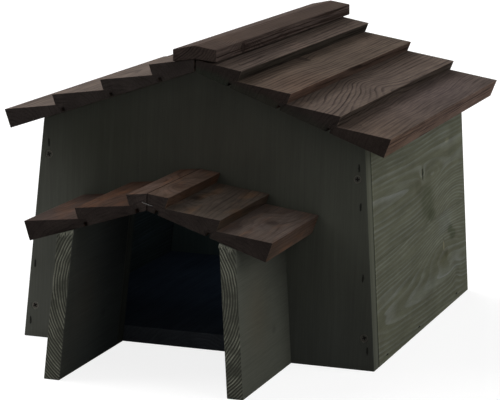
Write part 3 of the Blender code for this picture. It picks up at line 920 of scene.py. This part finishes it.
def butt_marks(course, side, tone):
    """A board's butt edge in a given tone, with its upper arris paler in places: wear and a painted
    highlight.
    """
    return [
        faces(-slope_directions(side)[0], tone, 0.90, 0.98),
        wear_and_highlight(on_board(course, 0, 0, side), 1.3, (145, 142, 138)),
    ]


def right_roof():
    rise, out = slope_directions(1)
    marks = {
        1: [
            wash(on_board(1, 330, 25), (40, 160, 40), (95, 97, 106)),
            faces(out, (92, 91, 92), 0.80, 0.95),
            patch(on_board(1, 180, 38), (12, 20, 10), (115, 115, 117), 0.6),
            wash(on_board(1, 30, 15), (40, 70, 40), (106, 103, 97)),
        ],
        2: [
            patch(on_board(2, 22, 44), (8, 10, 6), (135, 130, 125), 0.8),
            wash(on_board(2, 400, 40), (30, 50, 20), (86, 84, 82)),
        ],
        3: [
            knot(on_board(3, 205, 50), (8, 7, 6), (45, 34, 30), (24, 18, 16)),
            faces(out, (93, 92, 87), 0.80, 0.95),
            wash(on_board(3, 60, 8), (30, 90, 20), (112, 102, 98)),
            patch(on_board(3, 225, 41), (10, 12, 4), (118, 116, 114), 0.7),
        ],
        4: [
            patch(on_board(4, 215, 8), (10, 22, 7), (125, 120, 118), 0.8),
            wash(on_board(4, 120, 30), (30, 100, 20), (85, 85, 88)),
        ],
    }
    swirls = {
        1: [(on_board(1, 330, 20), (50, 60, 30), 1.0), (on_board(1, 175, 36), (40, 30, 12), 0.6)],
        2: [(on_board(2, -40, 20), (80, 150, 80), 6.0), (on_board(2, 205, 34), (40, 45, 20), -2.6)],
        3: [(on_board(3, 205, 52), (30, 35, 14), 1.4)],
        4: [],
    }
    for course, where in RIGHT_BOARDS.items():
        rows = marks[course] + butt_marks(course, 1, BUTT_TONES[course])
        rows.append(overspray(STRAYED[course], course * 1.7))
        rows.append(grain_lines(-rise, (42, 40, 40), course * 3.1))
        rows += notch_marks(course, MAIN_COURSES, 1, RIGHT_SLOPE)
        log = board_log(course, 1, *where, swirls[course])
        stain = WORN_BROWN if course == 1 else DARK_BROWN
        board(f"right_board_{course}", stain, log, 2.3 * course, rows)


def left_roof():
    draw = random.Random(11).uniform
    for course in range(1, MAIN_COURSES + 1):
        where = [draw(-25, 10), draw(22, 45), draw(0.0030, 0.0042)]
        where += [draw(-0.03, 0.03), draw(-0.02, 0.02)]
        spot = on_board(course, draw(120, 400), draw(15, 40), -1)
        log = board_log(course, -1, *where, [(spot, (14, 34, 30), 2.0)])
        # The butts are darker, so that the courses read against the tops in the strong light from
        # the left: painted shade.
        rows = butt_marks(course, -1, (66, 64, 64))
        rows += notch_marks(course, MAIN_COURSES, -1, LEFT_SLOPE)
        rows.append(knot(spot, (4.5, 7.5, 6), (30, 22, 19), (24, 18, 16)))
        board(f"left_board_{course}", BROWN, log, draw(1, 9), rows)


def ridge_cap():
    low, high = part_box("ridge_cap")
    swirl = Vector((high.x, low.y + 0.095, low.z + 0.006))
    swirls = [(swirl, (14, 32, 12), 7.0), (swirl + ALONG * 0.16, (12, 50, 10), 2.0)]
    log = Log((-0.048, 0.06, low.z + 0.060), (0.010, 1.0, -0.006), 0.0027, 0.0015, swirls)
    eye = swirl + Vector((0.0, -0.010, 0.001))
    arris = (high.x - 0.0006, 0.0, high.z - 0.0055)
    marks = [
        faces(ACROSS, (110, 109, 111), 0.80, 0.95),
        faces(UPRIGHT, (94, 88, 83), 0.70, 0.85),
        grain_lines(ACROSS, (36, 32, 30), 2.7, 0.52, 0.60),
        patch(swirl - ALONG * 0.004, (8, 12, 8), (70, 66, 64), 0.8),
        knot(eye, (10, 6, 4.5), (22, 15, 13), (9, 6, 5)),
        patch((0.008, low.y + 0.075, high.z), (12, 20, 20), (114, 112, 108), 0.8),
        wear_and_highlight(arris, 1.4, (135, 132, 128)),
        wear_and_highlight(UPRIGHT * high.z, 1.6, (122, 120, 118)),
    ]
    board("ridge_cap", CAP_BROWN, log, 4.4, marks)


def porch_roof():
    draw = random.Random(23).uniform
    for (word, course), tone in PORCH_TONES.items():
        side = -1 if word == "left" else 1
        name = f"porch_{word}_board_{course}"
        low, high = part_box(name)
        middle = (low + high) / 2
        deep = Vector((-side * draw(0.005, 0.04), 0.0, -draw(0.022, 0.05)))
        direction = (draw(-0.05, 0.05), 1.0, draw(-0.04, 0.04))
        across = draw(low.x + 0.012, high.x - 0.012)
        spot = Vector((across, draw(low.y + 0.05, high.y - 0.03), middle.z))
        gap = draw(0.0030, 0.0042)
        swirls = [(spot, (16, 30, 30), draw(2.0, 4.0))]
        log = Log(middle + deep, direction, gap, 0.004, swirls)
        outer = Vector((low.x if side < 0 else high.x, 0.0, low.z + BUTT_THICKNESS * 0.95))
        rise = slope_directions(side, PORCH_PITCH)[0]
        marks = [
            sides(tone),
            warm_streaks(ORANGE, draw(0, 5)),
            patch(spot, (8, 12, 20), (70, 66, 66), 0.8),
            patch(spot - ALONG * 0.03, (10, 14, 20), (135, 138, 145), 0.6),
            wear_and_highlight(outer, 1.6, (150, 140, 135)),
            faces(-rise, (79, 70, 63), 0.90, 0.98),
        ]
        marks += notch_marks(course, PORCH_COURSES, side, PORCH_SLOPE)
        if course == PORCH_COURSES:
            marks.append(line(ACROSS, 0.0, 0.9 * MM, 30))
        board(name, RED_BROWN, log, draw(0, 9), marks)


def own_wood(node):
    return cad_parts[node].data.materials[0]


def lap(name, upper, slope, side, butt, body):
    """The slip of wood that fills the lap between two courses, in the upper board's own wood."""
    taper = (BUTT_THICKNESS - FEATHER_THICKNESS) / slope[2]
    edge = butt - LAP + FIT_GAP - HAIR
    back = butt - LAP + HAIR
    under = FEATHER_THICKNESS + FIT_GAP - HAIR
    tip = FEATHER_THICKNESS - taper * (LAP - FIT_GAP) + HAIR
    mouth = butt - FIT_GAP
    lip = FEATHER_THICKNESS - taper * FIT_GAP + HAIR
    outline = [(mouth, lip), (mouth, under), (back, under)]
    outline += [(back, NOTCH_HEIGHT), (edge, NOTCH_HEIGHT), (edge, tip)]
    low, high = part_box(upper)
    shape = bmesh.new()
    rows = []
    for y in (low.y + SLIP_INSET, high.y - SLIP_INSET):
        spots = [siding_section(slope, side, *point) for point in outline]
        rows.append([shape.verts.new((x, y, z)) for x, z in spots])
    skin(shape, *rows)
    for row in rows:
        shape.faces.new(row)
    add_solid(name, shape, own_wood(upper), body)


def laps():
    porch = ("porch_", PORCH_SLOPE, PORCH_COURSES, "house", "red_brown_siding")
    left = ("", LEFT_SLOPE, MAIN_COURSES, "lid", "brown_siding")
    right = ("", RIGHT_SLOPE, MAIN_COURSES, "house", "brown_siding")
    for word, side, roofs in (("left", -1, (left, porch)), ("right", 1, (right, porch))):
        for prefix, slope, courses, body, slot in roofs:
            for course in range(1, courses):
                name = f"{prefix}{word}_lap_{course}"
                upper = f"{prefix}{word}_board_{course + 1}"
                lap(name, upper, slope, side, butt_run(course + 1, courses, slope), body)


def ridge_slip():
    """The slip of wood that fills the porch's ridge joint, behind its staple."""
    low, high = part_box("porch_left_board_3")
    half = FIT_GAP / 2 - HAIR
    corners = (
        (-half, low.y + RIDGE_SLIP_START, PORCH_SLOPE[0] + FIT_GAP),
        (half, high.y - SLIP_INSET, high.z - RIDGE_SLIP_DROP),
    )
    shape = bmesh.new()
    bmesh.ops.create_cube(shape, size=1.0)
    for vert in shape.verts:
        vert.co = [corners[part > 0][axis] for axis, part in enumerate(vert.co)]
    material = own_wood("porch_left_board_3")
    add_solid("porch_ridge_slip", shape, material, "house")


def stain_bead():
    """Stain that ran and dried along the front panel's left top arris, just below the lid."""
    draw = random.Random(3).uniform
    shape = bmesh.new()
    rows = []
    length = HALF_WIDTH - BEAD_START - BEAD_END
    back = FRONT_FACE + 2.5 * MM
    for step in range(BEAD_STEPS + 1):
        x = -HALF_WIDTH + BEAD_START + length * step / BEAD_STEPS
        foot = APEX_HEIGHT + x * math.tan(ROOF_PITCH) - FIT_GAP / math.cos(ROOF_PITCH)
        top = foot + draw(0.70, 0.84) * MM
        front = FRONT_FACE - draw(0.05, 0.25) * MM
        section = [(front, foot - 0.5 * MM), (front, top - 0.15 * MM)]
        section += [(FRONT_FACE + 0.5 * MM, top), (back, top - 0.1 * MM), (back, foot - 0.1 * MM)]
        rows.append([shape.verts.new((x, y, z)) for y, z in section])
    for first, second in zip(rows, rows[1:]):
        skin(shape, first, second)
    for row in (rows[0], rows[-1]):
        shape.faces.new(row)
    material = wood("dried_stain", DRIED_STAIN, Log((0.0, 0.0, 0.0)), 8.0)
    add_solid("left_stain_bead", shape, material, "house")


def battens():
    slope = Vector((-math.cos(ROOF_PITCH), 0.0, -math.sin(ROOF_PITCH)))
    for name in ("lid_batten_front", "lid_batten_rear"):
        low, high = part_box(name)
        pith = ((low.x + high.x) / 2, (low.y + high.y) / 2 + 0.01, low.z - 0.02)
        board(name, PINE, Log(pith, slope), 6.0, grain=slope)


# Fasteners


def metal(name, colour, roughness, metallic):
    """A metal. Its shine goes as its share of metal does."""
    graph = Graph(bpy.data.materials.new(name))
    scratch = graph.noise(2500.0, detail=3.0)
    graph.surface(
        Base_Color=graph.mix(scratch, colour, [part * 0.6 for part in colour]),
        Metallic=metallic,
        Roughness=graph.linear(scratch, 0.3, roughness),
        Specular_IOR_Level=0.5 * metallic,
        Normal=graph.bump(graph.times(scratch, 0.05)),
    )
    return graph.owner


def coat(name, colour):
    """Stain or dirt over metal, which takes its shine away, and the painted shade in the screws'
    recesses.
    """
    return metal(name, colour, 0.9, 0.0)


def screw_shape(turn):
    """A countersunk screw with a cross recess: its head at z = 0 and its point along +Z."""
    half = CROSS_HALF_WIDTH
    shape = bmesh.new()
    cross = []
    for quarter in range(4):
        angle = quarter * math.pi / 2 + turn
        for far, near in ((CROSS_ARM, -half), (CROSS_ARM, half), (half, half)):
            x = far * math.cos(angle) - near * math.sin(angle)
            y = far * math.sin(angle) + near * math.cos(angle)
            cross.append(shape.verts.new((x, y, 0.0)))
    disc = []
    rim = []
    for step in range(SCREW_STEPS):
        angle = 2 * math.pi * step / SCREW_STEPS
        for radius, row in ((SCREW_FACE, disc), (SCREW_HEAD, rim)):
            row.append(shape.verts.new((radius * math.cos(angle), radius * math.sin(angle), 0.0)))
    pairs = [(row[i - 1], row[i]) for row in (cross, disc) for i in range(len(row))]
    edges = [shape.edges.new(pair) for pair in pairs]
    bmesh.ops.triangle_fill(shape, edges=edges, use_beauty=True)
    for face in skin(shape, disc, rim):
        face.material_index = RIM_MATERIAL
    floor = ring_of(shape, cross, CROSS_FLOOR, CROSS_DEPTH)
    for face in skin(shape, cross, floor) + [shape.faces.new(floor)]:
        face.material_index = RECESS_MATERIAL
    last = rim
    for radius, depth in SCREW_SECTIONS:
        row = ring_of(shape, rim, radius / SCREW_HEAD, depth)
        skin(shape, last, row)
        last = row
    shape.faces.new(last)
    bmesh.ops.recalc_face_normals(shape, faces=shape.faces[:])
    return shape


def ring_of(shape, row, scale, depth):
    """A copy of a row of vertices, scaled round the screw's axis, at a depth."""
    return [shape.verts.new((vert.co.x * scale, vert.co.y * scale, depth)) for vert in row]


def front_panel_screws():
    """The screws of the front panel, with paler rims. The lower left one is paler altogether."""
    draw = random.Random(5).uniform
    steel = coat("stained_steel", (72, 72, 60))
    pale = coat("worn_screw_rim", (124, 113, 98))
    paler = coat("bright_screw_rim", (175, 174, 150))
    # Painted shade in the cross recesses
    recess_shade = coat("screw_recess_shade", (36, 31, 30))
    for name in [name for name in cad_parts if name.startswith("front_screw")]:
        low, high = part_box(name)
        middle = Vector(((low.x + high.x) / 2, low.y, (low.z + high.z) / 2))
        face, rim = (pale, paler) if name == "front_screw_left_lower" else (steel, pale)
        mesh = mesh_data(name, screw_shape(draw(0.0, math.pi / 2)))
        mesh.transform(Matrix.Translation(middle) @ Matrix.Rotation(math.radians(-90.0), 4, "X"))
        item = add_piece(name + "_crossed", mesh, face, "house")
        mesh.materials.append(recess_shade)
        mesh.materials.append(rim)
        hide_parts(name)


def staple(name, middle, along, out, material, crown=STAPLE_CROWN, wire=STAPLE_WIRE):
    """A wire staple driven home, with its crown half sunk in the wood."""
    half = crown / 2
    bend = STAPLE_BEND
    points = [(-half, -STAPLE_LEG), (-half, -bend)]
    points += [(-half + bend * 0.3, -bend * 0.3), (-half + bend, 0.0)]
    points += [(-across, depth) for across, depth in reversed(points)]
    curve = bpy.data.curves.new(name, "CURVE")
    curve.dimensions = "3D"
    curve.bevel_depth = wire / 2
    curve.bevel_resolution = 2
    curve.use_fill_caps = True
    path = curve.splines.new("POLY")
    path.points.add(len(points) - 1)
    for spot, (across, depth) in zip(path.points, points):
        spot.co = (*(middle + along * across + out * depth), 1.0)
    return add_piece(name, curve, material, "house")


def ridge_staple():
    """The staple across the porch's ridge joint, of thin wire."""
    dull = metal("dull_steel", (200, 190, 180), 0.8, 0.2)
    low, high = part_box("porch_ridge_staple")
    crown = high.x - low.x
    middle = Vector((0.0, low.y + RIDGE_STAPLE_DEPTH, (low.z + high.z) / 2))
    along = Vector((crown, 0.0, -(high.z - low.z - RIDGE_STAPLE_RISE))).normalized()
    item = staple("porch_ridge_wire", middle, along, -ALONG, dull, crown, RIDGE_WIRE)
    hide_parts("porch_ridge_staple")


def staples():
    steel = coat("stained_wire", (24, 23, 21))
    for number, spot in enumerate(FRONT_STAPLES, start=1):
        # Driven by hand, so that each leans a little
        lean = random.Random(number).uniform(-0.10, 0.10)
        along = Vector((lean, 0.0, 1.0)).normalized()
        staple(f"front_staple_{number}", on_front(*spot), along, -ALONG, steel)
    for number, spot in enumerate(BACK_STAPLES, start=1):
        staple(f"back_staple_{number}", on_back(*spot), UPRIGHT, ALONG, steel)
    for word, side in SIDES:
        out = Vector((side * math.cos(WALL_LEAN), 0.0, math.sin(WALL_LEAN)))
        for number, spot in enumerate(FOOT_STAPLES, start=1):
            staple(f"{word}_foot_staple_{number}", on_wall(*spot, side), ALONG, out, steel)


def fasteners():
    steel = metal("zinc_steel", (550, 540, 500), 0.35, 1.0)
    brown = coat("brown_stained_steel", (50, 38, 32))
    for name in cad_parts:
        if name.startswith("front_screw") or name == "porch_ridge_staple":
            continue
        if name.endswith("nail") and name.startswith("right_board") or name.startswith("cap_nail"):
            dress(name, brown)
        elif "screw" in name or "nail" in name:
            dress(name, steel)
    ridge_staple()
    front_panel_screws()
    staples()


# Torn fibres


def slivers(name, rng, count, start, end, out, hang, size, material, body, slot):
    """Torn fibres along an arris: thin curved spikes that stand out of it and hang one way."""
    way = (end - start).normalized()
    shape = bmesh.new()
    for _ in range(count):
        root = start.lerp(end, rng.random())
        length = size * rng.uniform(0.35, 1.0)
        width = size * rng.uniform(0.05, 0.09)
        lift = out * length * rng.uniform(0.05, 0.22)
        drift = way * length * rng.uniform(-0.25, 0.25)
        rows = []
        for share in (0.0, 0.45):
            middle = root + hang * length * share + lift * share * share * 2 + drift * share
            middle -= out * SLIVER_SINK
            thick = width * (1.0 - share * 0.6)
            corners = (way * thick, out * thick * 0.8, way * -thick)
            rows.append([shape.verts.new(middle + corner) for corner in corners])
        tip = shape.verts.new(root + hang * length + lift + drift)
        skin(shape, *rows)
        for i in range(3):
            shape.faces.new((rows[1][i - 1], rows[1][i], tip))
        shape.faces.new(rows[0])
    add_solid(name, shape, material, body)


def torn_fibres():
    rng = random.Random(41)
    middle = Log((0.0, 0.0, 0.0))
    green = (wood("torn_green_fibres", TORN_GREEN, middle, 1.0), "house", "green_wood")
    brown = wood("torn_brown_fibres", BROWN, middle, 1.5)
    red = (wood("torn_red_fibres", RED_BROWN, middle, 1.5), "house", "red_brown_siding")
    for word, side in SIDES:
        low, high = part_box(f"porch_{word}_wall")
        inner = HALF_PORCH - high.z * math.tan(WALL_LEAN)
        top = Vector((side * inner, low.y, high.z))
        outer = top + Vector((side * 15.0, 0.0, -5.0)) * MM
        foot = Vector((side * (HALF_PORCH + 0.2 * MM), low.y, 4.0 * MM))
        name = f"porch_{word}_"
        slivers(name + "top_fibres", rng, 16, top, outer, -ALONG, -UPRIGHT, 6.0 * MM, *green)
        slivers(name + "edge_fibres", rng, 12, foot, top, -ALONG, -UPRIGHT, 4.0 * MM, *green)
    for side, word, body in ((-1, "left", "lid"), (1, "right", "house")):
        rise, out = slope_directions(side)
        hang = (ALONG * 0.93 - rise * 0.35).normalized()
        for course in range(1, MAIN_COURSES + 1):
            ends = [on_board(course, along, 0.0, side) - out * 0.4 * MM for along in (14, 460)]
            name = f"{word}_board_{course}_splinters"
            slivers(name, rng, 20, *ends, -rise, hang, 3.4 * MM, brown, body, "brown_siding")
        hang = Vector((side * 0.25, 0.95, -0.1)).normalized()
        for course in range(1, PORCH_COURSES):
            low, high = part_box(f"porch_{word}_board_{course}")
            x = side * (max(abs(low.x), abs(high.x)) - 0.6 * MM)
            z = low.z + BUTT_THICKNESS * 0.93
            ends = [Vector((x, y, z)) for y in (low.y + 10.0 * MM, high.y - 6.0 * MM)]
            name = f"porch_{word}_board_{course}_splinters"
            slivers(name, rng, 8, *ends, -rise, hang, 2.6 * MM, *red)


bpy.context.scene.view_settings.view_transform = "Standard"
camera()
studio()
light()
panels()
right_wall()
left_wall()
porch_walls()
right_roof()
left_roof()
ridge_cap()
porch_roof()
laps()
ridge_slip()
stain_bead()
battens()
fasteners()
torn_fibres()
